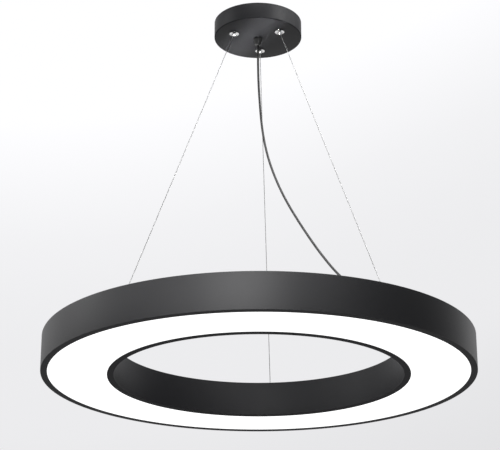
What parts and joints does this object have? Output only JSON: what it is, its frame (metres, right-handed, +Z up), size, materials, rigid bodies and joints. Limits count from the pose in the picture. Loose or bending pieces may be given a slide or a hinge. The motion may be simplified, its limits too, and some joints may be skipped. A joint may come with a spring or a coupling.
{
  "type": "ring pendant light",
  "caption": "Flat ring pendant lamp with a lit opal underside, hung by steel wires from a round ceiling canopy, with wire grips that set its height.",
  "frame": {"origin": "centre of the face that lies against the ceiling, on the axis of canopy and ring", "axes": "+Z up into the ceiling, along the axis of canopy and ring; X runs through the two ceiling screw slots"},
  "size_m": [0.6, 0.6, 0.551],
  "materials": {
    "black_metal": "fine matte black powder coat",
    "zinc_steel": "zinc plated",
    "black_screw": "black oxide",
    "chrome": "polished",
    "brass": "turned",
    "wire_steel": "stranded steel",
    "black_plastic": "moulded",
    "cord_jacket": "smooth jacket",
    "white_plastic": "moulded",
    "opal_diffuser": "opal, lit evenly from behind",
    "tray_aluminium": "mill",
    "white_board": "white solder mask",
    "led_phosphor": "phosphor",
    "green_board": "solder mask"
  },
  "bodies": {
    "canopy": {"mounting_plate": "zinc_steel", "canopy_cup": "black_metal", "canopy_side_screws": "zinc_steel", "terminal_block": "white_plastic", "terminal_screws": "zinc_steel", "cord_cone": "black_plastic", "cord_cone_nut": "zinc_steel", "canopy_lead": "cord_jacket", "power_cord": "cord_jacket", "grip_caps": "brass", "grip_nuts": "zinc_steel", "wire_tails": "wire_steel", "grip_body_left": "chrome", "grip_body_right": "chrome", "grip_body_rear": "chrome", "grip_spring_left": "zinc_steel", "grip_spring_right": "zinc_steel", "grip_spring_rear": "zinc_steel", "wire_left": "wire_steel", "wire_right": "wire_steel", "wire_rear": "wire_steel"},
    "ring": {"outer_band": "black_metal", "inner_band": "black_metal", "diffuser": "opal_diffuser", "led_tray": "tray_aluminium", "led_board_1": "white_board", "led_board_2": "white_board", "led_board_3": "white_board", "led_chips": "led_phosphor", "board_links": "white_plastic", "driver_case": "black_plastic", "driver_lid": "black_plastic", "driver_board": "green_board", "driver_screws": "zinc_steel", "led_leads": "cord_jacket", "cover_straps": "zinc_steel", "strap_screws": "zinc_steel", "top_cover": "black_metal", "cover_screws": "black_screw", "tray_screws": "zinc_steel", "anchor_nuts": "zinc_steel", "ring_cord_gland": "black_plastic", "gland_nut": "black_plastic", "ring_lead": "cord_jacket", "anchor_strap_left": "zinc_steel", "anchor_strap_right": "zinc_steel", "anchor_strap_rear": "zinc_steel", "anchor_bushing_left": "chrome", "anchor_bushing_right": "chrome", "anchor_bushing_rear": "chrome"},
    "plunger_left": {"plunger_left": "black_screw", "grip_balls_left": "zinc_steel"},
    "wire_end_left": {"wire_end_left": "wire_steel"},
    "plunger_right": {"plunger_right": "black_screw", "grip_balls_right": "zinc_steel"},
    "wire_end_right": {"wire_end_right": "wire_steel"},
    "plunger_rear": {"plunger_rear": "black_screw", "grip_balls_rear": "zinc_steel"},
    "wire_end_rear": {"wire_end_rear": "wire_steel"}
  },
  "joints": [
    {"name": "ring_height", "type": "slide", "parent": "canopy", "child": "ring", "axis": [0, 0, 1], "range_m": [0, 0.2], "deforming": ["wire_left", "wire_right", "wire_rear", "power_cord"]},
    {"name": "grip_release_left", "type": "slide", "parent": "canopy", "child": "plunger_left", "axis": [0, 0, 1], "range_m": [0, 0.0025], "stiffness_N_per_m": 700, "springref_m": -0.003, "deforming": ["grip_spring_left"]},
    {"name": "grip_release_right", "type": "slide", "parent": "canopy", "child": "plunger_right", "axis": [0, 0, 1], "range_m": [0, 0.0025], "stiffness_N_per_m": 700, "springref_m": -0.003, "deforming": ["grip_spring_right"]},
    {"name": "grip_release_rear", "type": "slide", "parent": "canopy", "child": "plunger_rear", "axis": [0, 0, 1], "range_m": [0, 0.0025], "stiffness_N_per_m": 700, "springref_m": -0.003, "deforming": ["grip_spring_rear"]},
    {"name": "wire_swivel_left", "type": "hinge", "parent": "ring", "child": "wire_end_left", "pos_m": [-0.1957, -0.09376, -0.5025], "axis": [-0.4321, 0.9018, 0], "range_deg": [0, 13]},
    {"name": "wire_swivel_right", "type": "hinge", "parent": "ring", "child": "wire_end_right", "pos_m": [0.17905, -0.1226, -0.5025], "axis": [-0.565, -0.8251, 0], "range_deg": [0, 13]},
    {"name": "wire_swivel_rear", "type": "hinge", "parent": "ring", "child": "wire_end_rear", "pos_m": [0.01665, 0.21636, -0.5025], "axis": [0.9971, -0.0767, 0], "range_deg": [0, 13]}
  ],
  "couplings": [
    {"joint": "wire_swivel_left", "follows": "ring_height", "rad_per_m": 1.069},
    {"joint": "wire_swivel_right", "follows": "ring_height", "rad_per_m": 1.069},
    {"joint": "wire_swivel_rear", "follows": "ring_height", "rad_per_m": 1.069}
  ]
}
